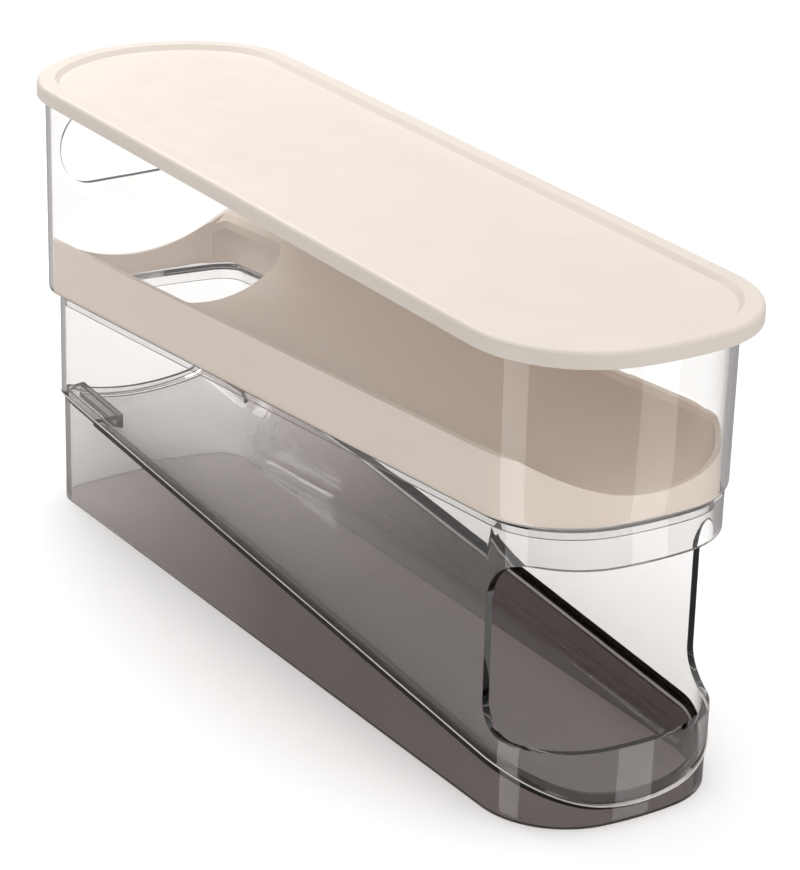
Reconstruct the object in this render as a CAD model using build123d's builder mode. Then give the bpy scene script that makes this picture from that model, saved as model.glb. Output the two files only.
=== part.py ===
"""Two-tier rolling egg keeper with a flip lid.

Units are millimetres.  +Z is up, the pick-up cup faces -Y and the origin is the
centre of the keeper on the table.  Eggs lie across the keeper, roll rearward down
the slide, drop through its rear opening and roll forward down the base floor.
"""

import os
from dataclasses import dataclass
from math import atan2, cos, radians, sin, sqrt

from build123d import *

# ---- overall size -----------------------------------------------------------------
LENGTH = 335.0
WIDTH = 95.0
HEIGHT = 154.3
FRONT = -LENGTH / 2
REAR = LENGTH / 2

# ---- lid ---------------------------------------------------------------------------
LID_DEPTH = 5.4
LID_FRONT_CORNER = 37.6
LID_FRONT_BOW = 117.7
LID_REAR_CORNER = 32.5
LID_REAR_BOW = 54.0
LID_SKIRT_WALL = 1.8
LID_EDGE_ROUND = 1.8
LID_RIM_WIDTH = 6.2
LID_RIM_SLOPE = 1.6
LID_PANEL_DROP = 1.6
LID_PANEL = 1.6
LID_RIB_END = 62.5
LID_RIB_DEPTH = 2.6
LID_RIB_WALL = 1.6

# ---- clear walls ---------------------------------------------------------------------
CLEAR_WALL = 2.4
UPPER_SIDE_INSET = 6.0
UPPER_FRONT_INSET = 7.2
UPPER_REAR_INSET = 12.8
UPPER_DRAFT = 0.7
LOWER_SIDE_INSET = 8.5
LOWER_FRONT_INSET = 8.2
LOWER_REAR_INSET = 18.0
LOWER_DRAFT = 0.4
BASE_SIDE_INSET = 9.4
BASE_FRONT_INSET = 8.6
BASE_REAR_INSET = 19.2
BASE_DRAFT = 0.4
BODY_REAR_CORNER = 13.0
BODY_REAR_BOW = 175.0

# ---- the ledge between the tiers, falling to the rear --------------------------------
LEDGE_FRONT = 96.8
LEDGE_FALL = 3.88
LEDGE_PLATE = 1.6
LEDGE_REACH = 6.2
LEDGE_ROUND = 3.0
SPIGOT_DEPTH = 3.0
SPIGOT_WALL = 1.6

# ---- the base floor, a trough falling to the front ------------------------------------
FLOOR_FRONT = 14.8
FLOOR_RISE = 4.75
FLOOR_RADIUS = 79.0
FLOOR_SAG = 10.0
FLOOR_WALL = 2.0
FLOOR_LIP = 3.0
FLOOR_LIP_WALL = 1.4
RAIL_LENGTH = 52.5
RAIL_CHANNEL = 49.0
RAIL_SINK = 1.0

# ---- pick-up opening and hand hole -----------------------------------------------------
CUP_RIM = 25.0
PICKUP_TOP = 83.7
PICKUP_DEPTH = 37.7
PICKUP_TOP_ROUND = 17.0
PICKUP_FOOT_ROUND = 11.0
HAND_HOLE_WIDTH = 60.0
HAND_HOLE_DEPTH = 27.0
HAND_HOLE_DROP = 29.4

# ---- slide -----------------------------------------------------------------------------
SLIDE_HEIGHT = 18.4
SLIDE_WALL = 1.8
SLIDE_RADIUS = 46.0
SLIDE_FLOOR = 2.0
SLIDE_LIFT = 0.4
SLIDE_DIP_RADIUS = 62.0
SLIDE_DIP = 7.1
SLIDE_PLAY = 0.4
DROP_WIDTH = 64.0
DROP_LENGTH = 52.0
DROP_ROUND = 9.0

# ---- rim and hinge ----------------------------------------------------------------------
RIM_PLATE = 1.8
LID_CLEARANCE = 0.3
SIDE_CLEARANCE = 0.4
HINGE_RADIUS = 2.7
HINGE_GAP = 0.6
HINGE_DROP = 3.6
PIN_RADIUS = 1.25
PIN_PLAY = 0.08
KNUCKLE = 17.0
EAR = 6.0
EAR_PLAY = 0.35
RIM_NOTCH = 36.0

FIT = 0.2
REACH = 2 * LENGTH


@dataclass(frozen=True)
class Plan:
    """Plan outline: straight sides, each end two corner arcs joined by a bow."""

    half: float
    front: float
    rear: float
    front_corner: float
    front_bow: float
    rear_corner: float
    rear_bow: float

    def inset(self, by):
        """The same outline moved inward all round."""
        return Plan(
            self.half - by,
            self.front + by,
            self.rear - by,
            self.front_corner - by,
            self.front_bow - by,
            self.rear_corner - by,
            self.rear_bow - by,
        )


def draw_end(half, tip, corner, bow, outward):
    """One rounded end of an outline; returns the y where its corners leave the sides."""
    across = half - corner
    lean = sqrt((bow - corner) ** 2 - across**2)
    side = tip - outward * (bow - lean)
    turn = atan2(lean, across)
    points = [
        (across + corner * cos(turn * step / 2), side + outward * corner * sin(turn * step / 2))
        for step in range(3)
    ]
    for hand in (1, -1):
        ThreePointArc(*[(hand * x, y) for x, y in points])
    x, y = points[-1]
    ThreePointArc((x, y), (0, tip), (-x, y))
    return side


def draw_plan(plan):
    """The closed outline, in the line block that is open."""
    front = draw_end(plan.half, plan.front, plan.front_corner, plan.front_bow, -1)
    rear = draw_end(plan.half, plan.rear, plan.rear_corner, plan.rear_bow, 1)
    for x in (plan.half, -plan.half):
        Line((x, front), (x, rear))


def tapered_block(top, draft, low, high):
    """Solid under a top outline, its foot drawn in all round by the draft."""
    with BuildPart() as block:
        for plan, height in ((top.inset(draft), low), (top, high)):
            with BuildSketch(Plane.XY.offset(height)):
                with BuildLine():
                    draw_plan(plan)
                make_face()
        loft(ruled=True)
    return block.part


def straight_block(plan, low, high):
    """Solid of one outline between two heights."""
    with BuildPart() as block:
        with BuildSketch(Plane.XY.offset(low)):
            with BuildLine():
                draw_plan(plan)
            make_face()
        extrude(amount=high - low)
    return block.part


def body_plan(side_inset, front_inset, rear_inset):
    """Outline of a body wall inside the lid's: its front end, and a squarer rear end."""
    return Plan(
        WIDTH / 2 - side_inset,
        FRONT + front_inset,
        REAR - rear_inset,
        LID_FRONT_CORNER - side_inset,
        LID_FRONT_BOW - side_inset,
        BODY_REAR_CORNER,
        BODY_REAR_BOW,
    )


def slope_plane(height, tilt):
    """Plane through the front end at a height, rising to the rear by a tilt in degrees."""
    turn = radians(tilt)
    return Plane((0, FRONT, height), x_dir=(1, 0, 0), z_dir=(0, -sin(turn), cos(turn)))


def trough(slope, sag, radius):
    """Round bar lying along a slope, its lowest line a sag below the slope."""
    bar = Plane(
        slope.origin + slope.z_dir * (radius - sag),
        x_dir=(1, 0, 0),
        z_dir=slope.z_dir.cross(slope.x_dir) * -1,
    )
    with BuildPart() as solid:
        with Locations(bar):
            Cylinder(radius, REACH)
    return solid.part


lid_plan = Plan(
    WIDTH / 2, FRONT, REAR, LID_FRONT_CORNER, LID_FRONT_BOW, LID_REAR_CORNER, LID_REAR_BOW
)
upper_top = body_plan(UPPER_SIDE_INSET, UPPER_FRONT_INSET, UPPER_REAR_INSET)
upper_foot = upper_top.inset(UPPER_DRAFT)
lower_top = body_plan(LOWER_SIDE_INSET, LOWER_FRONT_INSET, LOWER_REAR_INSET)
lower_foot = lower_top.inset(LOWER_DRAFT)
base_top = body_plan(BASE_SIDE_INSET, BASE_FRONT_INSET, BASE_REAR_INSET)

ledge = slope_plane(LEDGE_FRONT, -LEDGE_FALL)
floor_line = slope_plane(FLOOR_FRONT, FLOOR_RISE)
ledge_low = LEDGE_FRONT - LENGTH * sin(radians(LEDGE_FALL)) - 2 * SPIGOT_DEPTH

lid_under = HEIGHT - LID_PANEL_DROP - LID_PANEL
rim_top = lid_under - LID_CLEARANCE
hinge_y = upper_top.rear + HINGE_GAP + HINGE_RADIUS
hinge_z = HEIGHT - LID_DEPTH - HINGE_DROP
ear_root = upper_top.rear - CLEAR_WALL / 2

# ---- upper housing: clear wall, ledge with its spigot, rim, hand hole, hinge ears -----------
upper_block = tapered_block(upper_top, UPPER_DRAFT, ledge_low, rim_top)
upper_room = tapered_block(upper_top.inset(CLEAR_WALL), UPPER_DRAFT, ledge_low, rim_top)
ledge_mouth = straight_block(upper_foot.inset(LEDGE_REACH), ledge_low, rim_top)
spigot_plan = lower_top.inset(CLEAR_WALL + FIT)

with BuildPart() as upper_cavity:
    add(upper_room)
    split(bisect_by=ledge.offset(LEDGE_PLATE), keep=Keep.TOP)

with BuildPart() as spigot:
    add(straight_block(spigot_plan, ledge_low, rim_top))
    add(straight_block(spigot_plan.inset(SPIGOT_WALL), ledge_low, rim_top), mode=Mode.SUBTRACT)
    split(bisect_by=ledge.offset(-SPIGOT_DEPTH), keep=Keep.TOP)
    split(bisect_by=ledge.offset(LEDGE_PLATE / 2), keep=Keep.BOTTOM)

with BuildPart() as upper_housing:
    add(upper_block)
    split(bisect_by=ledge, keep=Keep.TOP)
    fillet(upper_housing.faces().sort_by(Axis.Z)[0].edges(), LEDGE_ROUND)
    add(upper_cavity.part, mode=Mode.SUBTRACT)
    add(ledge_mouth, mode=Mode.SUBTRACT)
    add(spigot.part)
    with BuildSketch(Plane.XY.offset(rim_top - RIM_PLATE)):
        with BuildLine():
            draw_plan(lid_plan.inset(LID_SKIRT_WALL + SIDE_CLEARANCE))
        make_face()
        with BuildLine():
            draw_plan(upper_top.inset(CLEAR_WALL / 2))
        make_face(mode=Mode.SUBTRACT)
        with Locations((0, upper_top.rear + RIM_NOTCH / 2)):
            Rectangle(RIM_NOTCH, RIM_NOTCH, mode=Mode.SUBTRACT)
        with Locations((0, hinge_y + RIM_NOTCH / 2)):
            Rectangle(WIDTH, RIM_NOTCH, mode=Mode.SUBTRACT)
    extrude(amount=RIM_PLATE)
    with BuildSketch(Plane.XZ.offset(-REAR)):
        with Locations((0, HEIGHT - HAND_HOLE_DROP)):
            SlotOverall(HAND_HOLE_WIDTH, HAND_HOLE_DEPTH)
    extrude(amount=LENGTH / 4, mode=Mode.SUBTRACT)
    for start in (KNUCKLE / 2 + EAR_PLAY, -KNUCKLE / 2 - EAR_PLAY - EAR):
        with BuildSketch(Plane.YZ.offset(start)):
            with Locations((hinge_y, hinge_z)):
                Circle(HINGE_RADIUS)
            with BuildLine():
                Polyline(
                    (hinge_y, hinge_z + HINGE_RADIUS),
                    (ear_root, hinge_z + HINGE_RADIUS),
                    (ear_root, hinge_z - 3 * HINGE_RADIUS),
                    (hinge_y + HINGE_RADIUS * cos(radians(30)), hinge_z - HINGE_RADIUS / 2),
                    (hinge_y, hinge_z),
                    close=True,
                )
            make_face()
            with Locations((hinge_y, hinge_z)):
                Circle(PIN_RADIUS, mode=Mode.SUBTRACT)
        extrude(amount=EAR)
upper_housing.part.label = "upper_housing"

# ---- lower housing: clear wall cut to the floor and the ledge, with the pick-up opening -----
with BuildPart() as lower_housing:
    add(tapered_block(lower_top, LOWER_DRAFT, 0, LEDGE_FRONT))
    add(
        tapered_block(lower_top.inset(CLEAR_WALL), LOWER_DRAFT, 0, LEDGE_FRONT),
        mode=Mode.SUBTRACT,
    )
    split(bisect_by=ledge, keep=Keep.BOTTOM)
    add(trough(floor_line, FLOOR_SAG, FLOOR_RADIUS), mode=Mode.INTERSECT)
    with BuildSketch(Plane.YZ.offset(-WIDTH)) as pickup:
        with Locations((FRONT, (PICKUP_TOP + CUP_RIM) / 2)):
            Rectangle(2 * PICKUP_DEPTH, PICKUP_TOP - CUP_RIM)
        fillet(pickup.vertices().group_by(Axis.Y)[-1].sort_by(Axis.X)[-1], PICKUP_TOP_ROUND)
        fillet(pickup.vertices().group_by(Axis.Y)[0].sort_by(Axis.X)[-1], PICKUP_FOOT_ROUND)
    extrude(amount=2 * WIDTH, mode=Mode.SUBTRACT)
lower_housing.part.label = "lower_housing"

# ---- base: skirt, trough floor with its lip, and the raised landing rails at the rear --------
base_high = FLOOR_FRONT + LENGTH * sin(radians(FLOOR_RISE)) + FLOOR_LIP
lip_plan = lower_foot.inset(CLEAR_WALL + FIT)
floor_top = trough(floor_line, FLOOR_SAG, FLOOR_RADIUS)
floor_under = trough(floor_line, FLOOR_SAG + FLOOR_WALL, FLOOR_RADIUS + FLOOR_WALL)
lip_top = trough(floor_line, FLOOR_SAG - FLOOR_LIP, FLOOR_RADIUS - FLOOR_LIP)
base_room = tapered_block(base_top.inset(CLEAR_WALL), BASE_DRAFT, 0, base_high)

with BuildPart() as base_hollow:
    add(base_room)
    add(floor_under, mode=Mode.SUBTRACT)

with BuildPart() as floor_lip:
    add(straight_block(lip_plan, 0, base_high + FLOOR_SAG))
    add(straight_block(lip_plan.inset(FLOOR_LIP_WALL), 0, base_high + FLOOR_SAG), mode=Mode.SUBTRACT)
    add(floor_top, mode=Mode.INTERSECT)
    add(lip_top, mode=Mode.SUBTRACT)
    split(bisect_by=floor_line.offset(FLOOR_RADIUS - FLOOR_SAG), keep=Keep.BOTTOM)



def landing_rails(plan, wall):
    """Both rails up to their tops, drawn in by a wall on every side but the skirt's."""
    with BuildPart() as rails:
        with BuildSketch():
            with BuildLine():
                draw_plan(plan)
            make_face()
            Rectangle(RAIL_CHANNEL + 2 * wall, LENGTH, mode=Mode.SUBTRACT)
            with Locations((0, REAR - RAIL_LENGTH + wall - LENGTH / 2)):
                Rectangle(WIDTH, LENGTH, mode=Mode.SUBTRACT)
        extrude(amount=base_high)
        split(bisect_by=floor_line.offset(-RAIL_SINK - wall), keep=Keep.BOTTOM)
    return rails.part


with BuildPart() as base:
    add(tapered_block(base_top, BASE_DRAFT, 0, base_high))
    add(floor_top, mode=Mode.SUBTRACT)
    add(landing_rails(lip_plan.inset(FLOOR_LIP_WALL / 2), 0))
    add(base_hollow.part, mode=Mode.SUBTRACT)
    add(landing_rails(base_top.inset(CLEAR_WALL + BASE_DRAFT), FLOOR_WALL), mode=Mode.SUBTRACT)
    add(floor_lip.part)
base.part.label = "base"

# ---- slide: trough on a skirt, dipped end walls, drop opening at the rear -----------------------
seat = ledge.offset(LEDGE_PLATE)
slide_plan = upper_foot.inset(CLEAR_WALL + SLIDE_PLAY)
slide_room_plan = slide_plan.inset(SLIDE_WALL)
slide_trough = trough(seat, -SLIDE_FLOOR - SLIDE_LIFT, SLIDE_RADIUS)
slide_under = trough(seat, -SLIDE_LIFT, SLIDE_RADIUS + SLIDE_FLOOR)

with BuildPart() as slide_channel:
    add(straight_block(slide_room_plan, ledge_low, HEIGHT))
    add(slide_trough, mode=Mode.INTERSECT)

with BuildPart() as slide_hollow:
    add(straight_block(slide_room_plan, ledge_low, HEIGHT))
    split(bisect_by=seat.offset(SLIDE_HEIGHT - SLIDE_FLOOR), keep=Keep.BOTTOM)
    add(slide_under, mode=Mode.SUBTRACT)

with BuildPart() as slide:
    add(straight_block(slide_plan, ledge_low, HEIGHT))
    split(bisect_by=seat, keep=Keep.TOP)
    split(bisect_by=seat.offset(SLIDE_HEIGHT), keep=Keep.BOTTOM)
    add(slide_channel.part, mode=Mode.SUBTRACT)
    add(slide_hollow.part, mode=Mode.SUBTRACT)
    add(trough(seat, -SLIDE_DIP, SLIDE_DIP_RADIUS), mode=Mode.SUBTRACT)
    with BuildSketch(Plane.XY.offset(ledge_low)):
        with Locations((0, slide_room_plan.rear - DROP_LENGTH / 2)):
            RectangleRounded(DROP_WIDTH, DROP_LENGTH, DROP_ROUND)
    extrude(amount=HEIGHT, mode=Mode.SUBTRACT)
slide.part.label = "slide"

# ---- lid: domed rim round a sunk panel, skirt, side ribs and hinge knuckle ------------------------
lid_foot = HEIGHT - LID_DEPTH
with BuildPart() as lid:
    add(straight_block(lid_plan, lid_foot, HEIGHT))
    fillet(lid.faces().sort_by(Axis.Z)[-1].edges(), LID_EDGE_ROUND)
    add(
        tapered_block(
            lid_plan.inset(LID_RIM_WIDTH), LID_RIM_SLOPE, HEIGHT - LID_PANEL_DROP, HEIGHT
        ),
        mode=Mode.SUBTRACT,
    )
    add(straight_block(lid_plan.inset(LID_SKIRT_WALL), lid_foot, lid_under), mode=Mode.SUBTRACT)
    for hand in (1, -1):
        rib_x = upper_top.half - CLEAR_WALL - SIDE_CLEARANCE - LID_RIB_WALL / 2
        with Locations((hand * rib_x, 0, lid_under - LID_RIB_DEPTH / 2)):
            Box(LID_RIB_WALL, LENGTH - 2 * LID_RIB_END, LID_RIB_DEPTH)
    with BuildSketch(Plane.YZ.offset(-KNUCKLE / 2)):
        with Locations((hinge_y, hinge_z)):
            Circle(HINGE_RADIUS)
        with Locations((hinge_y, (hinge_z + lid_under) / 2)):
            Rectangle(2 * HINGE_RADIUS, lid_under - hinge_z)
        with Locations((hinge_y, hinge_z)):
            Circle(PIN_RADIUS + PIN_PLAY, mode=Mode.SUBTRACT)
    extrude(amount=KNUCKLE)
lid.part.label = "lid"

# ---- hinge pin ---------------------------------------------------------------------------------
with BuildPart() as hinge_pin:
    with BuildSketch(Plane.YZ.offset(-KNUCKLE / 2 - EAR_PLAY - EAR)):
        with Locations((hinge_y, hinge_z)):
            Circle(PIN_RADIUS)
    extrude(amount=KNUCKLE + 2 * (EAR_PLAY + EAR))
    chamfer(hinge_pin.edges().filter_by(GeomType.CIRCLE), PIN_RADIUS / 4)
hinge_pin.part.label = "hinge_pin"

os.makedirs("parts", exist_ok=True)
for piece in (base, lower_housing, upper_housing, slide, lid, hinge_pin):
    export_step(piece.part, f"parts/{piece.part.label}.step")
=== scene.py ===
"""Looks for the egg keeper: clear and smoke shells, cream mouldings, floor, light, camera."""
from math import cos, radians, sin

import bmesh
import bpy
from mathutils import Matrix, Vector


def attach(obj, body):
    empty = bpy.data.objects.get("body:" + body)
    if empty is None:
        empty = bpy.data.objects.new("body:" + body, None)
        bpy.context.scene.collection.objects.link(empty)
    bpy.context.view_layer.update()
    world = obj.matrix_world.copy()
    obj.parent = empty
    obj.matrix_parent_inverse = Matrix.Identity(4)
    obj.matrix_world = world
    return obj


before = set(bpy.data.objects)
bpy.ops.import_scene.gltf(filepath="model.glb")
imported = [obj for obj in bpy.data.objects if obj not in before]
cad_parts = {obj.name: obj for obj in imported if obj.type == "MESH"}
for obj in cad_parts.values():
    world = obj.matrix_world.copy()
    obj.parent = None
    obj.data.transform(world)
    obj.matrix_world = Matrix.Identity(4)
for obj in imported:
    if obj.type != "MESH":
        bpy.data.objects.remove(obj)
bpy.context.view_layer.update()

scene = bpy.context.scene

# Lengths and places are in metres, colours are linear red, green and blue.

# ---- the photograph's camera, its angles in radians ----------------------------------------
PHOTO_W, PHOTO_H = 800, 870
CAM_AZIMUTH = -0.5772
CAM_ELEVATION = 0.3884
CAM_ROLL = 0.0286
CAM_DISTANCE = 1.13387
CAM_TARGET = Vector((0.0, -0.0206, 0.07242))
CAM_FOCAL_PX = 3546.6
CAM_CENTRE_PX = (397.5, 437.0)
CAM_SENSOR_MM = 36.0
CAM_REACH = 20.0

# ---- the stretch of its 0 to 1 that a noise texture mostly keeps to ------------------------
NOISE_LOW, NOISE_HIGH = 0.3, 0.7

# ---- opaque mouldings: light and dark of the cloudy colour, roughness range, grain strength -
LID_SKIN = ((0.668, 0.600, 0.540), (0.648, 0.578, 0.516), (0.38, 0.5), 0.25)
SLIDE_SKIN = ((0.870, 0.755, 0.655), (0.855, 0.735, 0.633), (0.32, 0.38), 0.12)
# The parting bead's skin is a painted highlight: pale, with darker stretches where the highlight
# fades.
HIGHLIGHT_BEAD_SKIN = ((0.80, 0.76, 0.73), (0.36, 0.34, 0.33), (0.15, 0.25), 0.1)
SKIN_IOR = 1.49
SKIN_SPECULAR = 0.4
WAVE_HEIGHT, WAVE_STRENGTH = 0.0004, 0.35
GRAIN_HEIGHT = 0.00003

# ---- see-through plastics: tints, painted rim shade and where it starts, light lost per metre -----
RIM_DARKEST = 0.95
RIPPLE_HEIGHT = 0.0004

CLEAR_IOR = 1.55
CLEAR_TINTS = ((0.2, (0.95, 0.945, 0.94)), (0.8, (0.97, 0.968, 0.965)))
# The clear rims' dark colour is painted shade, laid on where the skin turns away.
CLEAR_RIM_SHADE, CLEAR_RIM_SHADE_START = (0.16, 0.15, 0.145), 0.62
CLEAR_RIPPLE = 0.04
CLEAR_BULK = (0.55, 0.5, 0.47)
CLEAR_DENSITY_UPPER, CLEAR_DENSITY_LOWER = 14.0, 45.0
CLEAR_LAMP_TINT = (0.985, 0.985, 0.985)

SMOKE_IOR = 1.49
# The base darkens towards the pick-up end: partly its smoke tint, partly painted shade from the
# keeper and eggs above it.
SMOKE_FRONT, SMOKE_REAR = -0.165, 0.15
SMOKE_TINT_AND_SHADE = (
    (0.0, (0.30, 0.278, 0.272)),
    (0.5, (0.38, 0.352, 0.345)),
    (1.0, (0.96, 0.945, 0.94)),
)
SMOKE_STREAK, SMOKE_STREAK_MOST = (0.3, 0.28, 0.27), 0.12
SMOKE_STREAK_LOW, SMOKE_STREAK_HIGH = 0.35, 0.75
# The smoke rims' dark colour is painted shade, laid on where the skin turns away.
SMOKE_RIM_SHADE, SMOKE_RIM_SHADE_START = (0.05, 0.045, 0.042), 0.66
SMOKE_RIPPLE = 0.08
SMOKE_BULK, SMOKE_DENSITY = (0.45, 0.40, 0.37), 85.0
SMOKE_LAMP_TINT = (0.8, 0.78, 0.77)

# ---- drawn wire ----------------------------------------------------------------------------
WIRE_TINTS = ((NOISE_LOW, (0.46, 0.46, 0.47)), (NOISE_HIGH, (0.66, 0.66, 0.67)))
WIRE_ROUGHNESS = (0.22, 0.4)
WIRE_MARK_HEIGHT, WIRE_MARK_STRENGTH = 0.00002, 0.3

# ---- meshes: seams to close, the gap between shells, and how a shell's foot edge is known --
SHELLS = ("upper_housing", "lower_housing", "base")
SEAM_GAP = 0.000002
SHARP_DEGREES = 25.0
AIR_GAP = 0.00002
FOOT_BELOW = 0.05
FOOT_FACES_DOWN = -0.6
WALL_FACES_LEVEL = 0.3
STRAIGHT_Y = 0.12
BEAD_RADIUS = 0.00024

# ---- floor, and painted-reflection cards on it: two places at a wall's foot, their headings in degrees, glow --
FLOOR_HALF = 6.0
FLOOR_DROP = 0.00005
FLOOR_PAINT = ((NOISE_LOW, (0.94, 0.94, 0.94)), (NOISE_HIGH, (0.96, 0.96, 0.96)))
FLOOR_ROUGHNESS = 0.7
FLOOR_IN_MIRROR = (0.34, 0.33, 0.33)

CARD_REACH = 0.5
CARD_RISE = 0.0002
CARD_SHEEN = ((NOISE_LOW, (0.9, 0.9, 0.9)), (NOISE_HIGH, (1.0, 0.98, 0.96)))
CARDS = {
    "card_left": ((-0.0401, -0.1362), (-0.0369, -0.1438), (-115.0, -84.0), 2.2),
    "card_front": ((-0.0092, -0.1596), (0.0039, -0.1599), (28.0, 42.0), 1.8),
}

# ---- light: the sky's grey from opposite its bright side to that side, and one softbox -----
SKY_STRENGTH = 2.1
SKY_TOWARDS = Vector((0.15, -0.12, 0.95)).normalized()
SKY_GREYS = ((0.0, 0.03), (0.5, 0.07), (0.8, 0.40), (1.0, 1.0))
BACKDROP = (0.46, 0.455, 0.45)

KEY_PLACE = Vector((-0.05, 0.5, 0.6))
KEY_TARGET = Vector((0.0, 0.12, 0.15))
KEY_SIZE = 0.4
KEY_WATTS = 1.9


# ---- node helpers ----------------------------------------------------------------------------
class Nodes:
    """A node tree under construction."""

    def __init__(self, tree):
        self.tree = tree

    def put(self, node, inputs):
        """Give a node's inputs their plain values, or link them to other nodes' outputs."""
        for key, value in inputs.items():
            if isinstance(value, bpy.types.NodeSocket):
                self.tree.links.new(value, node.inputs[key])
            else:
                node.inputs[key].default_value = value

    def add(self, kind, inputs=None, **settings):
        """A new node with its settings and inputs."""
        node = self.tree.nodes.new(kind)
        for key, value in settings.items():
            setattr(node, key, value)
        self.put(node, inputs or {})
        return node

    def math(self, operation, first, second, **settings):
        """The result of a maths node on two values."""
        node = self.add("ShaderNodeMath", {0: first, 1: second}, operation=operation, **settings)
        return node.outputs[0]

    def remap(self, value, low, high, start=0.0, end=1.0):
        """A value between start and end, brought to lie between low and high."""
        node = self.add(
            "ShaderNodeMapRange",
            {"Value": value, "From Min": start, "From Max": end, "To Min": low, "To Max": high},
        )
        return node.outputs["Result"]

    def ramp(self, value, stops):
        """A colour for a value, from (place, (r, g, b)) stops."""
        node = self.add("ShaderNodeValToRGB", {"Fac": value})
        elements = node.color_ramp.elements
        while len(elements) < len(stops):
            elements.new(0.5)
        for element, (place, colour) in zip(elements, stops):
            element.position = place
            element.color = (*colour, 1.0)
        return node.outputs["Color"]

    def mix(self, share, first, second):
        """A colour from other nodes, giving way to a plain second one as the share rises."""
        node = self.add("ShaderNodeMix", data_type="RGBA")
        sockets = {socket.name: socket for socket in node.inputs if socket.enabled}
        self.tree.links.new(share, sockets["Factor"])
        self.tree.links.new(first, sockets["A"])
        sockets["B"].default_value = (*second, 1.0)
        return next(socket for socket in node.outputs if socket.enabled)


class Material(Nodes):
    """A node material under construction: one Principled shader and what drives it."""

    def __init__(self, name):
        self.material = bpy.data.materials.new(name)
        self.material.use_nodes = True
        super().__init__(self.material.node_tree)
        self.shader = self.tree.nodes["Principled BSDF"]
        self.output = self.tree.nodes["Material Output"]

    def position(self, scale=(1, 1, 1)):
        """Object coordinates in metres, stretched along the axes by scale."""
        place = self.add("ShaderNodeTexCoord").outputs["Object"]
        return self.add("ShaderNodeMapping", {"Vector": place, "Scale": scale}).outputs["Vector"]

    def noise(self, per_metre, detail=3.0, roughness=0.5, stretch=(1, 1, 1)):
        """Noise with so many lumps to the metre."""
        node = self.add(
            "ShaderNodeTexNoise",
            {
                "Vector": self.position(stretch),
                "Scale": per_metre,
                "Detail": detail,
                "Roughness": roughness,
            },
        )
        return node.outputs["Fac"]

    def bump(self, *layers):
        """Relief from (height, distance, strength) layers, coarse to fine."""
        normal = {}
        for height, distance, strength in layers:
            inputs = {"Height": height, "Distance": distance, "Strength": strength}
            node = self.add("ShaderNodeBump", inputs | normal)
            normal = {"Normal": node.outputs["Normal"]}
        self.put(self.shader, normal)

    def ripple(self, strength):
        """The slow flow waves of a polished wall."""
        waves = self.noise(per_metre=18.0, detail=1.0, roughness=0.4, stretch=(1.0, 0.3, 1.0))
        self.bump((waves, RIPPLE_HEIGHT, strength))

    def absorb(self, colour, density):
        """The plastic itself swallows light, so long paths to its cut edges go dark."""
        bulk = self.add("ShaderNodeVolumeAbsorption", {"Color": (*colour, 1.0), "Density": density})
        self.put(self.output, {"Volume": bulk.outputs[0]})

    def paint_rim_shade(self, colour, dark, start):
        """A tint darkened with painted shade where the skin curves out of sight, standing for the
        dark rims that thick clear walls show.
        """
        facing = self.add("ShaderNodeLayerWeight", {"Blend": 0.5}).outputs["Facing"]
        # Painted rim shade: the colour goes to the dark rim colour as the skin turns away.
        return self.mix(self.remap(facing, 0.0, RIM_DARKEST, start, 1.0), colour, dark)

    def let_lamps_through(self, tint):
        """Clear walls light what they hold: rays from lamps and lit faces pass straight."""
        path = self.add("ShaderNodeLightPath").outputs
        either = self.math("MAXIMUM", path["Is Shadow Ray"], path["Is Diffuse Ray"])
        straight = self.add("ShaderNodeBsdfTransparent", {"Color": (*tint, 1.0)})
        choice = self.add(
            "ShaderNodeMixShader",
            {"Fac": either, 1: self.shader.outputs[0], 2: straight.outputs[0]},
        )
        self.put(self.output, {"Surface": choice.outputs[0]})


# ---- materials -------------------------------------------------------------------------------
def moulded(name, light, dark, roughness, grain):
    """Opaque moulded plastic: faint cloudy colour, a fine grain and slow waves in the skin."""
    m = Material(name)
    clouds = m.noise(per_metre=14.0, detail=4.0, roughness=0.6, stretch=(1.0, 0.45, 1.0))
    polish = m.noise(per_metre=60.0)
    m.put(m.shader, {
        "Base Color": m.ramp(clouds, ((NOISE_LOW, dark), (NOISE_HIGH, light))),
        "Roughness": m.remap(polish, *roughness, NOISE_LOW, NOISE_HIGH),
        "IOR": SKIN_IOR,
        "Specular IOR Level": SKIN_SPECULAR,
    })
    waves = m.noise(per_metre=22.0, detail=1.0, roughness=0.4, stretch=(1.0, 0.5, 1.0))
    pores = m.noise(per_metre=3200.0, detail=2.0)
    m.bump((waves, WAVE_HEIGHT, WAVE_STRENGTH), (pores, GRAIN_HEIGHT, grain))
    return m.material


def clear(name, density):
    """Clear moulded plastic: polished, with slow flow waves and painted shade at its rims."""
    m = Material(name)
    flow = m.noise(per_metre=35.0, detail=2.0, stretch=(1.0, 0.35, 1.0))
    m.put(m.shader, {
        "Base Color": m.paint_rim_shade(m.ramp(flow, CLEAR_TINTS), CLEAR_RIM_SHADE, CLEAR_RIM_SHADE_START),
        "Roughness": 0.0,
        "IOR": CLEAR_IOR,
        "Transmission Weight": 1.0,
    })
    m.ripple(CLEAR_RIPPLE)
    m.absorb(CLEAR_BULK, density)
    m.let_lamps_through(CLEAR_LAMP_TINT)
    return m.material


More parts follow.
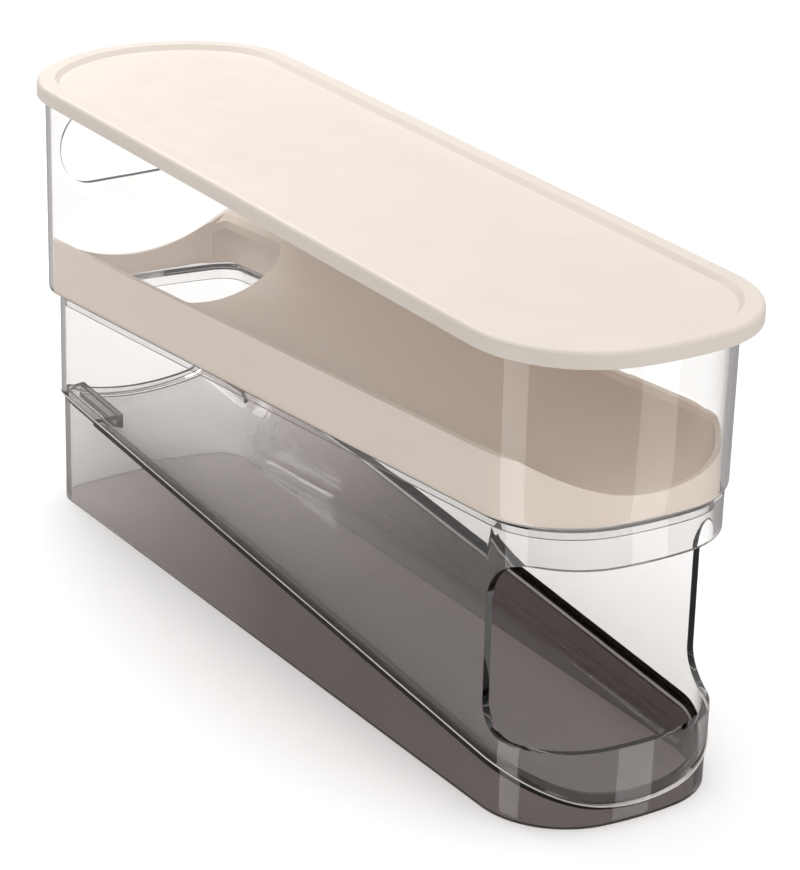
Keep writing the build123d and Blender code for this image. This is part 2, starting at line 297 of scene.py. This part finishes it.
def smoke(name):
    """Smoke-tinted clear plastic, darker towards the pick-up end: partly a deeper tint, partly
    painted shade.
    """
    m = Material(name)
    along = m.add("ShaderNodeSeparateXYZ", {0: m.position()}).outputs["Y"]
    # Darker towards the pick-up end: smoke tint together with painted shade.
    tint = m.ramp(m.remap(along, 0.0, 1.0, SMOKE_FRONT, SMOKE_REAR), SMOKE_TINT_AND_SHADE)
    flow = m.noise(per_metre=40.0, stretch=(1.0, 0.3, 1.0))
    streaks = m.remap(flow, 0.0, SMOKE_STREAK_MOST, SMOKE_STREAK_LOW, SMOKE_STREAK_HIGH)
    streaked = m.mix(streaks, tint, SMOKE_STREAK)
    m.put(m.shader, {
        "Base Color": m.paint_rim_shade(streaked, SMOKE_RIM_SHADE, SMOKE_RIM_SHADE_START),
        "Roughness": 0.0,
        "IOR": SMOKE_IOR,
        "Transmission Weight": 1.0,
    })
    m.ripple(SMOKE_RIPPLE)
    m.absorb(SMOKE_BULK, SMOKE_DENSITY)
    m.let_lamps_through(SMOKE_LAMP_TINT)
    return m.material


def wire(name):
    """Drawn steel wire: lengthwise drawing marks in the shine."""
    m = Material(name)
    marks = m.noise(per_metre=900.0, detail=2.0, stretch=(0.05, 1.0, 1.0))
    m.put(m.shader, {
        "Base Color": m.ramp(marks, WIRE_TINTS),
        "Roughness": m.remap(marks, *WIRE_ROUGHNESS, NOISE_LOW, NOISE_HIGH),
        "Metallic": 1.0,
    })
    m.bump((marks, WIRE_MARK_HEIGHT, WIRE_MARK_STRENGTH))
    return m.material


# ---- the clear shells' meshes ----------------------------------------------------------------
def joined_shading():
    """Nodes that close a mesh's seams and shade it smooth but for its real edges."""
    tree = bpy.data.node_groups.new("joined_shading", "GeometryNodeTree")
    for way in ("INPUT", "OUTPUT"):
        tree.interface.new_socket("Geometry", in_out=way, socket_type="NodeSocketGeometry")
    g = Nodes(tree)
    mesh = g.add("NodeGroupInput").outputs[0]
    plain = g.add("GeometryNodeRemoveAttribute", {"Geometry": mesh, "Name": "custom_normal"})
    merged = g.add(
        "GeometryNodeMergeByDistance", {"Geometry": plain.outputs[0], "Distance": SEAM_GAP}
    )
    smooth = g.add("GeometryNodeSetShadeSmooth", {"Geometry": merged.outputs[0]})
    turn = g.add("GeometryNodeInputMeshEdgeAngle").outputs["Unsigned Angle"]
    gentle = g.add(
        "FunctionNodeCompare",
        {"A": turn, "B": radians(SHARP_DEGREES)},
        data_type="FLOAT",
        operation="LESS_THAN",
    )
    edged = g.add(
        "GeometryNodeSetShadeSmooth",
        {"Geometry": smooth.outputs[0], "Shade Smooth": gentle.outputs["Result"]},
        domain="EDGE",
    )
    g.add("NodeGroupOutput", {0: edged.outputs[0]})
    return tree


def prepare_shells():
    """Even shading on each shell, and a hair's gap inside it, so that no clear faces coincide."""
    joined = joined_shading()
    for node in SHELLS:
        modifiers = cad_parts[node].modifiers
        modifiers.new("joined shading", "NODES").node_group = joined
        skin = modifiers.new("air gap", "DISPLACE")
        skin.strength = -AIR_GAP
        skin.mid_level = 0.0


# ---- a painted highlight: a pale hair-line bead along the lower shell's foot edge, at the parting - ---
def foot_edge(node):
    """The outer edge of a shell's foot: its points in order round the plan, and if it closes."""
    shape = bmesh.new()
    shape.from_mesh(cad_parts[node].data)
    bmesh.ops.remove_doubles(shape, verts=shape.verts, dist=SEAM_GAP)
    shape.normal_update()
    turning = {}
    for edge in shape.edges:
        middle = (edge.verts[0].co + edge.verts[1].co) / 2
        if len(edge.link_faces) != 2 or middle.z > FOOT_BELOW:
            continue
        foot, wall = sorted((face.normal for face in edge.link_faces), key=lambda n: n.z)
        if foot.z >= FOOT_FACES_DOWN or abs(wall.z) >= WALL_FACES_LEVEL:
            continue
        outward = Vector((middle.x, 0.0 if abs(middle.y) < STRAIGHT_Y else middle.y, 0.0))
        if wall.dot(outward) > 0:
            for here, there in (edge.verts, reversed(edge.verts)):
                turning.setdefault(here, []).append(there)
    path = sorted(turning, key=lambda v: len(turning[v]))[:1]
    passed = set(path)
    while path and (onward := [v for v in turning[path[-1]] if v not in passed]):
        path.append(onward[0])
        passed.add(onward[0])
    closed = len(path) > 2 and path[0] in turning[path[-1]]
    points = [v.co.copy() for v in path]
    shape.free()
    return points, closed


def bead(name, node, radius, material):
    """A fine round bead along a shell's foot edge, riding with the keeper."""
    points, closed = foot_edge(node)
    if len(points) < 3:
        return
    curve = bpy.data.curves.new(name, "CURVE")
    curve.dimensions = "3D"
    curve.bevel_depth = radius
    curve.bevel_resolution = 2
    spline = curve.splines.new("POLY")
    spline.points.add(len(points) - 1)
    for target, point in zip(spline.points, points):
        target.co = (*point, 1.0)
    spline.use_cyclic_u = closed
    holder = bpy.data.objects.new(name + "_path", curve)
    mesh = bpy.data.meshes.new_from_object(holder)
    mesh.name = name
    bpy.data.objects.remove(holder)
    mesh.materials.clear()
    mesh.materials.append(material)
    for face in mesh.polygons:
        face.use_smooth = True
    piece = bpy.data.objects.new(name, mesh)
    scene.collection.objects.link(piece)
    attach(piece, "keeper")


# ---- floor, light and camera -----------------------------------------------------------------
def flat_sheet(name, corners, height, material):
    """A flat four-cornered sheet at a height."""
    mesh = bpy.data.meshes.new(name)
    mesh.from_pydata([(x, y, 0.0) for x, y in corners], [], [(0, 1, 2, 3)])
    mesh.materials.append(material)
    sheet = bpy.data.objects.new(name, mesh)
    sheet.location.z = height
    scene.collection.objects.link(sheet)
    return sheet


def floor():
    """A wide pale floor, its paint faintly uneven, and dimmer where a clear wall mirrors it."""
    m = Material("floor_paint")
    paint = m.ramp(m.noise(per_metre=3.0, detail=2.0), FLOOR_PAINT)
    mirrored = m.add("ShaderNodeLightPath").outputs["Glossy Depth"]
    m.put(m.shader, {
        "Base Color": m.mix(mirrored, paint, FLOOR_IN_MIRROR),
        "Roughness": FLOOR_ROUGHNESS,
        "Specular IOR Level": 0.0,
    })
    half = FLOOR_HALF
    corners = ((-half, -half), (half, -half), (half, half), (-half, half))
    ground = flat_sheet("floor", corners, -FLOOR_DROP, m.material)


def mirror_card(name, left, right, headings, glow):
    """A glowing card on the floor that lights nothing and is never seen itself: a painted
    reflection, an upright band of shine in the clear walls.

    It spreads outward from two places at a wall's foot, each along its own heading.
    """
    m = Material(name)
    m.put(m.shader, {
        "Base Color": (0.0, 0.0, 0.0, 1.0),
        "Emission Color": m.ramp(m.noise(per_metre=6.0, detail=2.0), CARD_SHEEN),
        "Emission Strength": glow,
    })
    far_left, far_right = (
        (x + CARD_REACH * sin(turn), y - CARD_REACH * cos(turn))
        for (x, y), turn in zip((left, right), map(radians, headings))
    )
    card = flat_sheet(name, (left, far_left, far_right, right), CARD_RISE, m.material)
    for ray in ("camera", "diffuse", "transmission", "shadow"):
        setattr(card, "visible_" + ray, False)


def sky():
    """Soft studio surround: brightest overhead, dim low down, pale where it is itself seen."""
    world = bpy.data.worlds.new("studio")
    scene.world = world
    world.use_nodes = True
    w = Nodes(world.node_tree)
    around = w.add("ShaderNodeTexCoord").outputs["Generated"]
    towards = w.add("ShaderNodeVectorMath", {0: around, 1: SKY_TOWARDS}, operation="DOT_PRODUCT")
    side = w.remap(towards.outputs["Value"], 0.0, 1.0, -1.0, 1.0)
    dome = w.ramp(side, [(place, (grey, grey, grey)) for place, grey in SKY_GREYS])
    path = w.add("ShaderNodeLightPath").outputs
    unmirrored = w.math("SUBTRACT", 1.0, path["Glossy Depth"], use_clamp=True)
    through = w.math("MULTIPLY", path["Is Transmission Ray"], unmirrored)
    seen = w.math("MAXIMUM", path["Is Camera Ray"], through)
    w.put(w.tree.nodes["Background"], {
        "Color": w.mix(seen, dome, BACKDROP),
        "Strength": SKY_STRENGTH,
    })


def key_light():
    """A square softbox high behind the keeper, aimed at its rear half."""
    lamp = bpy.data.lights.new("key", "AREA")
    lamp.shape = "RECTANGLE"
    lamp.size = lamp.size_y = KEY_SIZE
    lamp.energy = KEY_WATTS
    holder = bpy.data.objects.new("key", lamp)
    holder.location = KEY_PLACE
    holder.rotation_euler = (KEY_TARGET - KEY_PLACE).to_track_quat("-Z", "Y").to_euler()
    scene.collection.objects.link(holder)


def camera():
    """The camera that took the photograph."""
    back = Vector((
        sin(CAM_AZIMUTH) * cos(CAM_ELEVATION),
        -cos(CAM_AZIMUTH) * cos(CAM_ELEVATION),
        sin(CAM_ELEVATION),
    ))
    right = (-back).cross(Vector((0, 0, 1))).normalized()
    up = right.cross(-back)
    turned_right = cos(CAM_ROLL) * right + sin(CAM_ROLL) * up
    turned_up = -sin(CAM_ROLL) * right + cos(CAM_ROLL) * up
    data = bpy.data.cameras.new("camera")
    long_side = max(PHOTO_W, PHOTO_H)
    data.sensor_width = CAM_SENSOR_MM
    data.lens = CAM_FOCAL_PX / long_side * CAM_SENSOR_MM
    data.shift_x = (PHOTO_W / 2 - CAM_CENTRE_PX[0]) / long_side
    data.shift_y = (CAM_CENTRE_PX[1] - PHOTO_H / 2) / long_side
    data.clip_end = CAM_REACH
    eye = bpy.data.objects.new("camera", data)
    eye.matrix_world = Matrix.Translation(CAM_TARGET + back * CAM_DISTANCE) @ Matrix(
        (turned_right, turned_up, back)
    ).transposed().to_4x4()
    scene.collection.objects.link(eye)
    scene.camera = eye


# ---- the scene ---------------------------------------------------------------------------------
finishes = {
    "lid": moulded("lid_plastic", *LID_SKIN),
    "slide": moulded("cream_plastic", *SLIDE_SKIN),
    "upper_housing": clear("clear_plastic_upper", CLEAR_DENSITY_UPPER),
    "lower_housing": clear("clear_plastic_lower", CLEAR_DENSITY_LOWER),
    "base": smoke("smoke_plastic"),
    "hinge_pin": wire("pin_steel"),
}
for node, material in finishes.items():
    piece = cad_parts[node]
    piece.data.materials.clear()
    piece.data.materials.append(material)

prepare_shells()
# A pale bead painted on as the highlight along the parting line.
bead("parting_highlight_bead", "lower_housing", BEAD_RADIUS, moulded("painted_highlight_plastic", *HIGHLIGHT_BEAD_SKIN))

floor()
# Glowing cards seen only in the clear walls' reflections: painted reflections.
for name, card in CARDS.items():
    mirror_card(name, *card)
sky()
key_light()
camera()
scene.view_settings.view_transform = "Standard"
